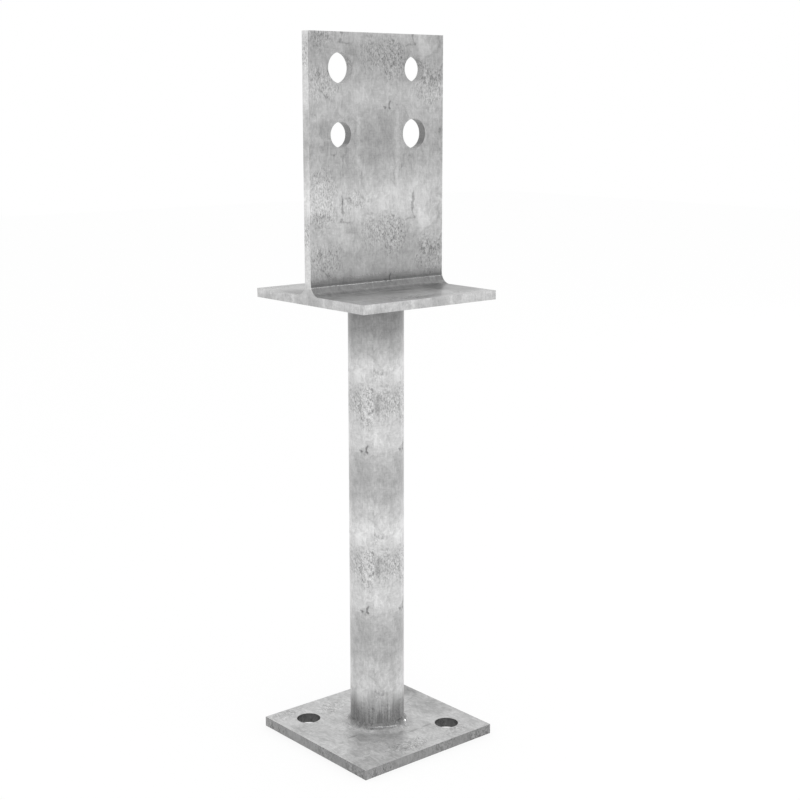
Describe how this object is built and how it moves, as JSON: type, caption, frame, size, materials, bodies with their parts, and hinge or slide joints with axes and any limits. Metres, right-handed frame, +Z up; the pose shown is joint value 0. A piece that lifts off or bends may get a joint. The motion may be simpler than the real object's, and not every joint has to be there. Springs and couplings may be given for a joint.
{
  "type": "timber post base",
  "caption": "Bolt-down galvanised steel post base: a square foot plate, an upright round tube and a T-shaped head whose seat and upright blade carry a slotted timber post.",
  "frame": {"origin": "middle of the foot plate's underside, on the concrete", "axes": "+Z up, from the foot plate to the blade; X along the blade and the T section; Y through the blade's thickness, with the pictured face of the blade towards -Y"},
  "size_m": [0.075, 0.075, 0.3185],
  "materials": {
    "galvanised_plate": "hot-dip galvanised sheet steel, matt, cloudy grey",
    "galvanised_tube": "hot-dip galvanised tube, matt, cloudy grey, darker near the weld",
    "galvanised_section": "hot-dip galvanised rolled section, matt, cloudy grey with dark specks",
    "galvanised_weld": "weld bead under zinc, smooth, darker and glossier than the plates"
  },
  "bodies": {
    "root": {"foot_plate": "galvanised_plate", "stand_tube": "galvanised_tube", "tee_head": "galvanised_section", "foot_weld": "galvanised_weld", "seat_weld": "galvanised_weld"}
  },
  "joints": []
}
